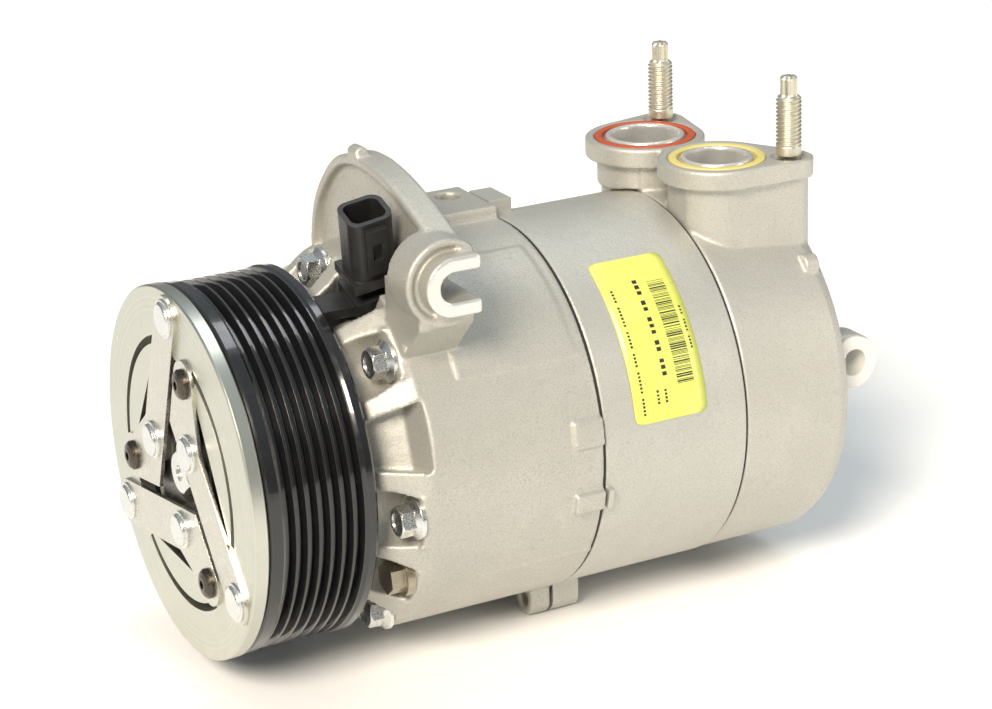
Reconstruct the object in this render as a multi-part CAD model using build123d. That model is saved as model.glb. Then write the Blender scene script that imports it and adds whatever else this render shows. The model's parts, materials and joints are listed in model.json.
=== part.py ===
"""Clutch-driven swash-plate air-conditioning compressor, built as separate pieces.

Frame, in mm: X runs along the shaft from the clutch to the rear head, +Z is up, and the origin is
on the shaft axis in the middle plane of the belt grooves.  Angles round the shaft are measured from
-Y towards +Z, which is anticlockwise for somebody who looks at the clutch.
"""
import os
from math import asin, atan2, cos, degrees, hypot, radians, sin, tan

from build123d import *

# ---- stations along the shaft ------------------------------------------------------------------
X_PLATE = -22.2          # front face of the armature plate
X_ROTOR = -17.2          # friction face of the pulley rotor
X_RIM_END = 16.3         # rear edge of the pulley rim
X_NOSE = -7.0            # front end of the housing nose that carries the bearing
X_NECK = 17.5            # face of the front housing behind the pulley
X_BOLT = 29.8            # seats of the through bolts
X_SHOULDER = 34.5        # the neck reaches the full diameter here
X_SWASH = 80.0           # centre of the swash plate
X_JOINT_1 = 88.9         # front housing meets cylinder block
X_BORES = 97.0           # front end of the cylinder bores
X_JOINT_2 = 138.35       # cylinder block meets rear head
X_REAR = 177.3           # rear end face
GASKET = 0.7

# ---- radii -------------------------------------------------------------------------------------
R_FRONT, R_BLOCK, R_REAR = 58.6, 58.4, 58.1
R_CHAMBER = 47.5
R_PLATE = 56.3
R_RIM = 56.0
R_RIDGE = 55.4
R_GROOVE = 52.6
R_SHAFT = 9.0
R_NOSE = 17.5
R_BEARING = 27.5

# ---- clutch face -------------------------------------------------------------------------------
OUTER_RIVET = (48.5, 89.0)      # radius, angle of the first one
INNER_RIVET = (16.8, 160.0)
STOP_PIN = (34.3, 189.0)
LEAF_WIDTH = 14.0
LEAF_THICK = 1.2
PLATE_THICK = 4.5
SLOT_RADIUS, SLOT_WIDTH, SLOT_SPAN = 40.2, 2.4, 78.0
WINDOW_INRADIUS, WINDOW_RADIUS = 29.0, 37.0

# ---- belt grooves ------------------------------------------------------------------------------
GROOVES = 7
PITCH = 3.56

# ---- through bolts, cylinders ------------------------------------------------------------------
BOLTS = 7
BOLT_CIRCLE = 53.0
BOLT_ANGLE = 43.8
PLUG_ANGLE = -32.5
BOLT_HEAD = 6.8
CYLINDERS = 7
PISTON_CIRCLE = 36.0
PISTON_ANGLE = BOLT_ANGLE + 180.0 / BOLTS
R_BORE = 13.5
R_PISTON = 13.45
SWASH_THICK = 6.0
R_SWASH = 43.0
TILT_MAX = 16.0
R_SHOE = 8.5
SHOE_GAP = 0.15

# ---- ports -------------------------------------------------------------------------------------
Z_PORT = 72.5
PORT_FLANGE = 6.0
SUCTION = dict(at=(147.9, 16.1), bore=10.4, collar=12.6, seal=15.9, flange=18.9,
               neck=15.3, stud=(162.3, 30.2))
DISCHARGE = dict(at=(153.0, -18.3), bore=9.1, collar=11.2, seal=14.9, flange=18.4,
                 neck=14.4, stud=(171.7, -29.7))
STUD_RADIUS = 4.0
STUD_SHANK = 3.4          # root of the thread, inside the casting
STUD_LENGTH = 25.0
CONTROL_VALVE = (14.0, -26.0)
RELIEF_VALVE = (22.0, 22.0)

# ---- mounting ears -----------------------------------------------------------------------------
EAR = dict(x=40.5, z=62.9, outer=8.8, inner=4.4, base=12.9, y0=-61.5, y1=-44.0)
EAR_WEB = (41.0, 45.5)
EAR_RIM = (38.5, 47.5)
TAB_HOLE = (80.6, 22.2, 3.8)
Z_TAB = 62.0
REAR_LUG = dict(x=185.8, y=-40.0, z=7.0, outer=8.8, sleeve=7.0, inner=4.3, thick=9.0)
FOOT = dict(y=17.5, z=-59.0, r=5.4, hole=2.6)

# ---- electrical connector ----------------------------------------------------------------------
SOCKET_AT = (36.0, 48.5, 71.5)   # station, radius and angle of its foot
SOCKET_LEAN = -10.0              # towards the clutch
SOCKET_SIZE = (13.8, 12.5, 34.5)
SOCKET_WALL = 1.5

# ---- retaining rings: front and rear station of each groove -------------------------------------
RING_GROOVE = (-6.0, -4.3)
COIL_RING = (13.4, 14.95)
SEAL_RING = (-4.2, -2.8)
X_BEARING = (-4.0, 13.0)

BIG = 200.0
ON_CENTRE = (Align.CENTER, Align.CENTER, Align.NONE)


# ---- building blocks ---------------------------------------------------------------------------
def rod(r, x0, x1, y=0.0, z=0.0):
    """Cylinder along X."""
    return Pos((x0 + x1) / 2, y, z) * Rot(0, 90, 0) * Cylinder(r, abs(x1 - x0))


def ring(r_out, r_in, x0, x1, y=0.0, z=0.0):
    return rod(r_out, x0, x1, y, z) - rod(r_in, x0 - 1, x1 + 1, y, z)


def post(r, x, y, z0, z1):
    """Cylinder along Z."""
    return Pos(x, y, (z0 + z1) / 2) * Cylinder(r, abs(z1 - z0))


def cross(r, x, z, y0, y1):
    """Cylinder along Y."""
    return Pos(x, (y0 + y1) / 2, z) * Rot(90, 0, 0) * Cylinder(r, abs(y1 - y0))


def block(x0, x1, y0, y1, z0, z1):
    return Pos((x0 + x1) / 2, (y0 + y1) / 2, (z0 + z1) / 2) * Box(x1 - x0, y1 - y0, z1 - z0)


def turned(points):
    """Solid of revolution round the shaft from (station, radius) points."""
    wire = Polyline([(x, 0, r) for x, r in points], close=True)
    return revolve(make_face(wire), Axis.X, 360)


def polar(r, angle):
    """The (y, z) place at a radius and an angle round the shaft."""
    return -r * cos(radians(angle)), r * sin(radians(angle))


def wall_cut(points, r0, r1):
    """Prism through the wall at the -Y side from (station, z) points, between two radii."""
    wire = Polyline([(x, -r0, z) for x, z in points], close=True)
    return extrude(make_face(wire), r1 - r0, dir=(0, -1, 0))


def wall_profile(points, half):
    """Prism at the -Y side from (station, radius) points, to that far each side of its middle."""
    wire = Polyline([(x, -r, -half) for x, r in points], close=True)
    return extrude(make_face(wire), 2 * half, dir=(0, 0, 1))


def wall_sector(low, high, x0, x1):
    """Wedge round the shaft between two angles that are less than a half turn apart."""
    corners = [(0, 0), *(polar(90.0, a) for a in (low, (low + high) / 2, high))]
    return plate(corners, x0, x1)


def rods_at(places, r, x0, x1):
    """One cylinder along X at each (y, z) place."""
    return [rod(r, x0, x1, y, z) for y, z in places]


def hexagon(across, x0, x1, y=0.0, z=0.0, turn=0.0):
    """Hexagonal bar along X."""
    face = RegularPolygon(across / 2, 6, major_radius=False, rotation=turn)
    return Pos(x0, y, z) * extrude(Plane.YZ * face, x1 - x0)


def plate(outline, x0, x1):
    """Flat plate across the shaft from (y, z) points."""
    wire = Polyline([(0, y, z) for y, z in outline], close=True)
    return Pos(x0, 0, 0) * extrude(make_face(wire), x1 - x0, dir=(1, 0, 0))


def round_at(angle, thing):
    """Turns a piece round the shaft by an angle in the sense of polar()."""
    return Rot(-angle, 0, 0) * thing


def save(node, *solids):
    shape = solids[0] if len(solids) == 1 else Compound(children=[s for s in solids])
    export_step(shape, f"parts/{node}.step")


def fused(first, *others):
    for other in others:
        first = first + other
    return first


BOLT_ANGLES = [BOLT_ANGLE + i * 360.0 / BOLTS for i in range(BOLTS)]
BOLT_PLACES = [polar(BOLT_CIRCLE, a) for a in BOLT_ANGLES]
PISTON_ANGLES = [PISTON_ANGLE + i * 360.0 / CYLINDERS for i in range(CYLINDERS)]
PLUG_PLACE = polar(51.8, PLUG_ANGLE)


# ---- castings ----------------------------------------------------------------------------------
EAR_ARCH = [(33.9, 44), (32.9, 55), (29.4, 66), (20.2, 77.6), (12, 83.8), (2, 86.8), (-10, 87),
            (-26, 84), (-38, 80), (-52, 73.5), (-61, 66.5)]
EAR_FOOT = [(-52, 50), (-40, 40), (0, 42), (20, 42)]


def drawn_in(points, inset):
    """The same open line of (y, z) points, moved to its left by an inset."""
    moved = []
    for i, (y, z) in enumerate(points):
        (y0, z0), (y1, z1) = points[max(i - 1, 0)], points[min(i + 1, len(points) - 1)]
        size = hypot(y1 - y0, z1 - z0)
        moved.append((y - inset * (z1 - z0) / size, z + inset * (y1 - y0) / size))
    return moved


def ear_plate(inset, x0, x1):
    """Plate under the smooth arch of the upper mounting ear, drawn in by an inset."""
    top = [(x0, y, z) for y, z in drawn_in(EAR_ARCH, inset)]
    foot = [(x0, y, z) for y, z in EAR_FOOT]
    face = make_face([Spline(top), Polyline([top[-1], *foot, top[0]])])
    return extrude(face, x1 - x0, dir=(1, 0, 0))


def bolt_recess(place, r_seat, r_mouth):
    """Flared cut in front of a bolt seat, open outwards."""
    y, z = place
    angle = degrees(atan2(z, -y))
    r = hypot(y, z)
    mouth = X_NECK - 2
    cone = Pos((X_BOLT + mouth) / 2, -r, 0) * Rot(0, 90, 0) * Cone(r_mouth, r_seat, X_BOLT - mouth)
    slot = wall_cut([(X_BOLT, -r_seat), (X_BOLT, r_seat), (mouth, r_mouth), (mouth, -r_mouth)], r, r + 20)
    return round_at(angle, fused(cone, slot))


def neck_pocket(angle):
    """Pocket between two bolts: narrow at the pulley, with a floor that rises to the rear."""
    x0, x1 = X_NECK - 3, X_SHOULDER - 0.5
    sides = wall_cut([(x0, -6.0), (x0, 6.0), (x1, 10.8), (x1, -10.8)], 38, 70)
    floor = wall_profile([(x0, 40.0), (x1 - 3.0, 48.5), (x1, 60.0), (x1, 70.0), (x0, 70.0)], 15)
    return round_at(angle, sides & floor)


def front_housing():
    end = X_JOINT_1 - GASKET / 2
    body = turned([(X_NECK, 0), (X_NECK, 47.0), (X_NECK + 2, 50.0), (X_SHOULDER - 5, R_FRONT - 1.4),
                   (X_SHOULDER - 2, R_FRONT), (end - 0.4, R_FRONT), (end, R_FRONT - 0.4), (end, 0)])
    nose = turned([(X_NOSE, 0), (X_NOSE, R_NOSE - 0.8), (X_NOSE + 0.8, R_NOSE), (13.0, R_NOSE),
                   (13.0, 21.5), (X_NECK, 21.5), (X_NECK, 0)])
    body = fused(body, nose)
    for place in BOLT_PLACES + [PLUG_PLACE]:
        body += rod(9.4, X_BOLT - 1.0, X_SHOULDER + 8, *place) & rod(R_FRONT - 0.3, 0, 60)
    for angle in PISTON_ANGLES:
        if abs((angle - PLUG_ANGLE + 180) % 360 - 180) > 15:
            body -= neck_pocket(angle)
    for place in BOLT_PLACES:
        body -= bolt_recess(place, 7.5, 11.0)
    body -= bolt_recess(PLUG_PLACE, 7.3, 8.8)
    # upper ear: arched web, rim along it, slotted boss at its near end
    ear = ear_plate(0.0, *EAR_RIM)
    ear -= ear_plate(3.2, EAR_RIM[0] - 1, EAR_WEB[0])
    ear -= ear_plate(3.2, EAR_WEB[1], EAR_RIM[1] + 1)
    knob = cross(2.4, EAR_WEB[0] - 0.5, 87.6, -4.0, 2.0)
    x, z = EAR["x"], EAR["z"]
    base = cross(EAR["base"], x, z, EAR["y0"] + 4.5, EAR["y1"]) & block(0, x + 8.4, -70, 0, 40, 90)
    base += plate([(-57, 61), (-56, 50), (-44, 38), (-34, 44), (-34, 61)], x - 9, x + 8.4)
    tip = cross(EAR["outer"], x, z, EAR["y0"], EAR["y1"])
    tip += block(x, x + 8.4, EAR["y0"], EAR["y1"], z - EAR["outer"], z + EAR["outer"])
    dish = cross(EAR["base"] - 2.2, x, z, EAR["y0"], EAR["y0"] + 6.3) - cross(EAR["outer"], x, z, -70, -50)
    base -= dish & block(0, x + 7, -70, 0, z - 9, 90)
    body = fused(body, ear, knob, base, tip)
    body -= cross(EAR["inner"], x, z, -BIG / 2, EAR["y1"] + 4)
    body -= block(x, x + 20, -BIG / 2, EAR["y1"] + 4, z - EAR["inner"], z + EAR["inner"])
    # tab with a vertical hole, and its neighbour across the joint
    tab = block(EAR_WEB[1] - 1, end, 4, 30, 50, Z_TAB) - block(0, 66, 20, 40, 40, 80)
    body += tab
    body = body - post(TAB_HOLE[2], TAB_HOLE[0], TAB_HOLE[1], Z_TAB - 9, Z_TAB + 5)
    # raised panel, lugs at the joint and the feet
    body += ring(R_FRONT + 0.5, R_FRONT - 1, 46, 84) & wall_sector(31.5, 72.0, 40, 90)
    for angle, width, proud in ((9.0, 8.3, 1.3), (-12.0, 6.4, 2.0)):
        body += round_at(angle, block(78.7, end, -R_FRONT - proud, -50, -width / 2, width / 2))
    body += round_at(-33.0, block(50.0, end, -R_FRONT - 0.4, -57.0, -0.7, 0.7))
    for side in (-1, 1):
        body += foot(side, X_JOINT_1 - 7.5, end)
    # the inside
    body -= turned([(46.0, 0), (46.0, 30), (52.0, R_CHAMBER), (end + 1, R_CHAMBER), (end + 1, 0)])
    body -= rod(20.0, 42.0, 47.0)
    body -= rod(13.3, 24.0, 43.0)
    body -= rod(13.0, X_NOSE - 1, 12.0)
    body -= rod(10.2, 0, 30)
    body -= ring(30.0, 22.5, 24.0, 46.5)
    for place in BOLT_PLACES:
        body -= rod(3.3, 0, BIG, *place)
    for angle in PISTON_ANGLES:
        body -= rod(R_BORE, 78.0, end + 1, *polar(PISTON_CIRCLE, angle))
    body -= rod(4.0, 0, 43.0, *PLUG_PLACE)
    body -= ring(R_NOSE + 1, 16.6, *RING_GROOVE)
    body -= ring(22.5, 20.6, *COIL_RING)
    body -= ring(13.7, 12.0, *SEAL_RING)
    body -= plug_space()
    for hole in pin_places():
        body -= rod(2.02, end - 6, end + 1, *hole)
    return body


def pin_places():
    """Dowel pins sit beside two opposite through bolts."""
    return [polar(53.0, BOLT_ANGLES[1] + 13), polar(53.0, BOLT_ANGLES[4] + 13)]


def foot(side, x0, x1):
    """Half of a foot lug under the joint."""
    y = side * FOOT["y"]
    solid = rod(FOOT["r"], x0, x1, y, FOOT["z"]) + block(x0, x1, y - FOOT["r"], y + FOOT["r"], -59, -50)
    return solid - rod(FOOT["hole"], x0 - 1, x1 + 1, y, FOOT["z"])


def cylinder_block():
    front, end = X_JOINT_1 + GASKET / 2, X_JOINT_2 - GASKET / 2
    body = turned([(front, 0), (front, R_BLOCK - 0.4), (front + 0.4, R_BLOCK), (end - 0.4, R_BLOCK),
                   (end, R_BLOCK - 0.4), (end, 0)])
    body += block(front, front + 7.5, 11, 24.5, 50, Z_TAB - 0.4)
    body += round_at(-12.0, block(front, front + 1.8, -R_FRONT - 2.0, -50, -3.2, 3.2))
    for side in (-1, 1):
        body += foot(side, front, front + 9)
    body -= turned([(front - 1, 0), (front - 1, R_CHAMBER), (X_BORES - 1, R_CHAMBER), (X_BORES, 46.5),
                    (X_BORES, 0)])
    for angle in PISTON_ANGLES:
        body -= rod(R_BORE, front - 1, end + 1, *polar(PISTON_CIRCLE, angle))
    body -= rod(13.3, X_BORES - 1, 118.0)
    body -= rod(5.0, X_BORES, end + 1)
    for place in BOLT_PLACES:
        body -= rod(3.3, 0, BIG, *place)
    for hole in pin_places():
        body -= rod(2.02, front - 1, front + 6, *hole)
    return body


def port_outline(port, grow, z0, z1):
    """Round port flange drawn out to the stud, as a solid between two heights."""
    (x, y), (sx, sy) = port["at"], port["stud"]
    r = port["flange"] + grow
    lobe = 7.6 + grow / 2
    face = make_hull((Pos(x, y) * Circle(r)).edges() + (Pos(sx, sy) * Circle(lobe)).edges())
    return Pos(0, 0, z0) * extrude(face, z1 - z0)


def rear_head():
    front = X_JOINT_2 + GASKET / 2
    body = turned([(front, 0), (front, R_REAR - 0.4), (front + 0.4, R_REAR), (X_REAR - 5, R_REAR),
                   (X_REAR - 1.5, R_REAR - 1.5), (X_REAR, R_REAR - 5), (X_REAR, 0)])
    over = ring(BIG / 2, R_BLOCK + 0.5, 100, front)
    for port in (SUCTION, DISCHARGE):
        x, y = port["at"]
        neck = post(port["neck"], x, y, 30, Z_PORT - PORT_FLANGE + 1)
        flange = port_outline(port, 0.0, Z_PORT - PORT_FLANGE, Z_PORT)
        web = port_outline(port, -3.2, 34, Z_PORT - PORT_FLANGE + 1) & block(front, 180, -60, 60, 30, 80)
        tower = fused(flange, neck, web)
        tower = tower - block(100, front, -60, 60, 0, 57.5) - rod(R_BLOCK + 0.6, 100, front)
        tower -= block(front - 60, front, -60, 60, -60, 50)
        body += tower
    # lug behind the end face, boss on the shoulder
    lug = REAR_LUG
    body += cross(lug["outer"], lug["x"], lug["z"], lug["y"] - lug["thick"] / 2, lug["y"] + lug["thick"] / 2)
    body += block(X_REAR - 12, lug["x"], lug["y"] - lug["thick"] / 2 + 2, lug["y"] + lug["thick"] / 2,
                  lug["z"] - lug["outer"], lug["z"] + lug["outer"]) & rod(R_REAR, 100, 200)
    body += round_at(45.0, rod(3.4, X_REAR - 8, X_REAR - 3, -R_REAR + 1.2, 0))
    # chambers behind the valve plate
    body -= rod(50.0, front - 1, front + 3.6)
    gallery = ring(47.0, 29.5, front, X_REAR - 10)
    for y, z in (CONTROL_VALVE, RELIEF_VALVE):
        gallery -= rod(10.5, 100, 200, y, z)
    body -= gallery
    body -= rod(26.0, front, X_REAR - 10)
    body -= cross(lug["sleeve"], lug["x"], lug["z"], -BIG / 2, -20)
    for port, deep in ((SUCTION, 41.0), (DISCHARGE, 20.0)):
        x, y = port["at"]
        body -= post(port["seal"] + 0.1, x, y, Z_PORT - 1.6, Z_PORT + 1)
        body += post(port["collar"], x, y, Z_PORT - 2, Z_PORT + 0.4)
        body -= post(port["bore"], x, y, Z_PORT - 16, Z_PORT + 1)
        body -= post(port["bore"] - 3.4, x, y, deep, Z_PORT - 15)
        sx, sy = port["stud"]
        body -= post(STUD_SHANK + 0.02, sx, sy, Z_PORT - 15, Z_PORT + 1)
        body -= post(5.4, sx, sy, Z_PORT - 1.2, Z_PORT + 1)
    for place in BOLT_PLACES:
        body -= rod(3.02, 100, 161.0, *place)
    body -= rod(7.0, 140, 200, *CONTROL_VALVE)
    body -= rod(6.0, 150, 200, *RELIEF_VALVE)
    return body


def gasket(x, r_in, r_out):
    body = ring(r_out, r_in, x - GASKET / 2, x + GASKET / 2)
    for place in BOLT_PLACES:
        body -= rod(3.4, 0, BIG, *place)
    for place in pin_places():
        body -= rod(2.1, 0, 100, *place)
    return body


def through_bolt(y, z):
    top = X_BOLT - BOLT_HEAD
    head = hexagon(8.4, top, X_BOLT - 1.4, y, z, 12.0)
    head &= turned_at(y, z, [(top, 0), (top, 4.1), (top + 0.8, 4.9), (X_BOLT, 4.9), (X_BOLT, 0)])
    flange = turned_at(y, z, [(X_BOLT - 2.6, 0), (X_BOLT - 2.6, 4.4), (X_BOLT - 1.2, 6.3), (X_BOLT, 6.3),
                              (X_BOLT, 0)])
    return fused(head, flange, rod(3.0, X_BOLT - 1, 158.0, y, z)) - rod(2.9, 0, top + 0.4, y, z)


def turned_at(y, z, points):
    return Pos(0, y, z) * turned(points)


def oil_plug():
    y, z = PLUG_PLACE
    head = hexagon(9.0, X_BOLT - 7.0, X_BOLT - 1.5, y, z, 20.0)
    return fused(head, rod(6.4, X_BOLT - 2.6, X_BOLT, y, z), rod(3.97, X_BOLT - 1, 42.0, y, z))


# ---- clutch ------------------------------------------------------------------------------------
def belt_profile():
    """Outline of the grooved rim from front to rear."""
    first = -GROOVES * PITCH / 2
    points = [(X_ROTOR, R_RIM - 0.6), (X_ROTOR + 0.6, R_RIM), (first - 0.9, R_RIM), (first, R_RIDGE)]
    for i in range(GROOVES):
        x = first + i * PITCH
        points += [(x + 0.35, R_RIDGE), (x + 1.38, R_GROOVE), (x + PITCH - 1.38, R_GROOVE),
                   (x + PITCH - 0.35, R_RIDGE)]
    return points + [(-first, R_RIDGE), (-first + 0.9, R_RIM), (X_RIM_END - 0.8, R_RIM),
                     (X_RIM_END, R_RIM - 0.8)]


def rotor_pulley():
    x0 = X_BEARING[0]
    body = turned(belt_profile() + [(X_RIM_END, 48.0), (-11.0, 48.0), (-11.0, 31.2), (14.0, 31.2),
                                    (14.0, R_BEARING), (x0, R_BEARING), (x0, 25.2), (-8.0, 25.2),
                                    (X_ROTOR, 29.0)])
    slot = ring(46.0, 43.2, X_ROTOR - 1, -10.0) & plate([(0, 0), (-60, -16), (-60, 16)], -30, 0)
    for i in range(6):
        body -= round_at(i * 60.0, slot)
    slot = ring(37.0, 34.6, X_ROTOR - 1, -10.0) & plate([(0, 0), (-60, -20), (-60, 20)], -30, 0)
    for i in range(6):
        body -= round_at(30 + i * 60.0, slot)
    return body


def coil_housing():
    shell = turned([(-10.3, 32.2), (-10.3, 34.4), (12.6, 34.4), (12.6, 45.0), (-10.3, 45.0), (-10.3, 47.2),
                    (14.0, 47.2), (15.0, 46.4), (17.4, 46.4), (17.4, 21.55), (15.0, 21.55), (15.0, 32.2)])
    return shell - round_at(SOCKET_AT[2], block(12.0, 18.0, -50, -43, -4.5, 4.5))


def coil_winding():
    return ring(44.8, 34.6, -9.6, 12.4)


def coil_ring():
    body = ring(24.4, 20.7, COIL_RING[0] + 0.05, COIL_RING[1] - 0.05)
    return body - block(0, 40, -2.5, 2.5, -30, 0)


def bearing_race(r_in, r_out):
    x0, x1 = X_BEARING
    body = turned([(x0 + 0.02, r_in), (x0 + 0.02, r_out - 0.4), (x0 + 0.4, r_out), (x1 - 0.4, r_out),
                   (x1 - 0.05, r_out - 0.4), (x1 - 0.05, r_in)])
    for x in ball_rows():
        body -= Pos(x, 0, 0) * Rot(0, 90, 0) * Torus(22.5, 3.05)
    return body


def ball_rows():
    x0, x1 = X_BEARING
    return (x0 + (x1 - x0) * 0.27, x0 + (x1 - x0) * 0.73)


def bearing_balls():
    return [Pos(x, *polar(22.5, i * 360 / 16 + row * 11)) * Sphere(2.95)
            for row, x in enumerate(ball_rows()) for i in range(16)]


def nose_ring():
    return ring(20.0, 16.65, RING_GROOVE[0] + 0.05, RING_GROOVE[1] - 0.05) - block(-10, 0, -2.5, 2.5, -30, 0)


def leaf_outline():
    """Outline of one bent leaf, as (y, z) circle centres and straight-sided parts."""
    a, b, c = (polar(*p) for p in (OUTER_RIVET, INNER_RIVET, STOP_PIN))
    dy, dz = b[0] - a[0], b[1] - a[1]
    size = (dy * dy + dz * dz) ** 0.5
    along = (dy / size, dz / size)
    side = (along[1], -along[0])
    if side[0] * b[0] + side[1] * b[1] > 0:
        side = (-side[0], -side[1])
    half = LEAF_WIDTH / 2
    move = lambda p, s, t: (p[0] + side[0] * s + along[0] * t, p[1] + side[1] * s + along[1] * t)
    elbow = move(b, half, 13.0)
    return a, b, c, [move(a, half, 0), elbow, (c[0] + 0.8, c[1] - 7.0), (c[0], c[1] + 7.0),
                     move(b, -half, -4), move(a, -half, 0)]


def leaf_spring():
    a, b, c, sides = leaf_outline()
    x0, x1 = X_PLATE - LEAF_THICK, X_PLATE
    body = fused(plate(sides, x0, x1), rod(LEAF_WIDTH / 2, x0, x1, *a), rod(LEAF_WIDTH / 2, x0, x1, *c))
    for place, r in ((a, 2.4), (b, 2.5), (c, 2.2)):
        body -= rod(r, x0 - 1, x1 + 1, *place)
    return body


def thirds(thing):
    return [round_at(-120 * i, thing) for i in range(3)]


def three_at(r, angle):
    return [polar(r, angle + 120 * i) for i in range(3)]


def window():
    """Three-sided opening through the armature plate."""
    tri = rod(WINDOW_RADIUS, X_PLATE - 1, X_ROTOR)
    for i in range(3):
        tri -= round_at(28 + 120 * i, block(X_PLATE - 2, X_ROTOR + 1, -70, -WINDOW_INRADIUS, -70, 70))
    return tri


def armature_plate():
    x1 = X_PLATE + PLATE_THICK
    body = turned([(X_PLATE, 0), (X_PLATE, R_PLATE - 0.5), (X_PLATE + 0.5, R_PLATE), (x1 - 0.5, R_PLATE),
                   (x1, R_PLATE - 0.5), (x1, 0)])
    body -= window()
    wedge = plate([(0, 0), (-70, -70 * tan(radians(SLOT_SPAN / 2))), (-70, 70 * tan(radians(SLOT_SPAN / 2)))],
                  X_PLATE - 2, X_ROTOR)
    slot = ring(SLOT_RADIUS + SLOT_WIDTH / 2, SLOT_RADIUS - SLOT_WIDTH / 2, X_PLATE - 1, x1 + 1) & wedge
    for i in range(3):
        body -= round_at(146 + 120 * i, slot)
    for hole in rods_at(three_at(*OUTER_RIVET), 2.4, X_PLATE - 1, x1 + 1):
        body -= hole
    return body


def rivet(place, r_head, thick, r_shank, x_end):
    y, z = place
    x0 = X_PLATE - LEAF_THICK
    head = turned_at(y, z, [(x0, 0), (x0, r_head), (x0 - thick * 0.35, r_head),
                            (x0 - thick * 0.45, r_head - 0.7), (x0 - thick + 0.3, r_head - 0.9),
                            (x0 - thick, r_head - 1.4), (x0 - thick, 0)])
    return head + rod(r_shank, x0 - 0.2, x_end, y, z)


def stop_pin(place):
    y, z = place
    x0 = X_PLATE - LEAF_THICK
    head = turned_at(y, z, [(x0, 0), (x0, 4.5), (x0 - 0.9, 4.5), (x0 - 1.8, 3.7), (x0 - 2.3, 2.3),
                            (x0 - 2.4, 0)])
    return head + rod(2.18, x0 - 0.2, -17.85, y, z) - rod(1.3, x0 - 5, -19.0, y, z)


def clutch_hub():
    body = turned([(-20.2, 0), (-20.2, 22.0), (-17.8, 22.0), (-17.8, 13.0), (-8.3, 12.5), (-8.3, 0)])
    b = polar(*INNER_RIVET)
    c = polar(*STOP_PIN)
    arm = plate([(c[0] - 0.4, c[1] - 2.6), (c[0] - 0.4, c[1] + 2.6), (-16, 8), (-12, -10)], -20.2, -17.8)
    arm = fused(arm, rod(2.6, X_PLATE, -17.8, *c), rod(7.0, X_PLATE, -18.5, *b))
    body = fused(body, *thirds(arm))
    for r, places in ((2.5, three_at(*INNER_RIVET)), (2.2, three_at(*STOP_PIN))):
        for hole in rods_at(places, r, -30, 0):
            body -= hole
    return body - rod(9.6, -30, -16.0) - rod(7.02, -30, 0)


def hub_bolt():
    head = hexagon(12.0, -22.0, -17.4, turn=18.0)
    head &= turned([(-22.0, 0), (-22.0, 6.0), (-21.2, 7.0), (-16.0, 7.0), (-16.0, 0)])
    return fused(head, rod(9.2, -17.5, -16.0), rod(2.98, -17.0, 2.0)) - rod(2.4, -23, -20.4)


# ---- shaft and swash plate ---------------------------------------------------------------------
def drive_shaft():
    body = turned([(-16.0, 0), (-16.0, 6.5), (-15.5, 7.0), (-8.3, 7.0), (-8.3, R_SHAFT), (116.0, R_SHAFT),
                   (117.0, R_SHAFT - 1.0), (117.0, 0)])
    return body - rod(3.0, -17, 4.0)


def bearing_shell(r_out, x0, x1, rollers=12):
    """Needle bearing: drawn shell with a row of rollers inside."""
    shell = ring(r_out, r_out - 1.0, x0, x1)
    lips = [ring(r_out - 1.0, R_SHAFT + 0.3, x, x + 0.9) for x in (x0, x1 - 0.9)]
    shell = fused(shell, *lips)
    r = (r_out - 1.0 - R_SHAFT - 0.05) / 2
    needles = rods_at([polar(R_SHAFT + 0.03 + r, i * 360 / rollers) for i in range(rollers)], r - 0.01,
                      x0 + 1.0, x1 - 1.0)
    return [shell, *needles]


def thrust_bearing():
    washers = [ring(19.5, 9.6, 42.02, 43.2), ring(19.5, 9.6, 45.7, 46.92)]
    cage = ring(18.8, 10.4, 43.3, 45.6)
    return [*washers, cage]


def shaft_seal():
    body = ring(12.98, R_SHAFT + 0.6, -2.7, 10.0)
    for x in (-1.0, 3.0, 7.0):
        body += turned([(x, 10.0), (x + 1.8, R_SHAFT + 0.04), (x + 2.2, R_SHAFT + 0.04), (x + 1.4, 10.0)])
    return body


def seal_ring():
    return ring(13.6, 11.2, SEAL_RING[0] + 0.05, SEAL_RING[1] - 0.05) - block(-9, 0, -2, 2, -30, 0)


def lug_plate():
    body = ring(28.0, R_SHAFT, 47.05, 53.0)
    for side in (-1, 1):
        body += block(52.0, 64.0, min(side * 5, side * 10), max(side * 5, side * 10), 20.0, 30.0) & (
            ring(27.0, 21.6, 50, 70))
    body += ring(28.0, 20.0, 52.0, 56.0) & block(40, 60, -30, 30, -30, -8)
    return body


def return_spring():
    turns = 5.5
    path = Helix(pitch=(70.9 - 53.2 - 2.2) / turns, height=70.9 - 53.2 - 2.2, radius=11.6)
    wire = Plane(origin=path @ 0, z_dir=path % 0) * Circle(1.05)
    spring = sweep(wire, path=path)
    return Pos(54.3, 0, 0) * Rot(0, 90, 0) * spring


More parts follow.
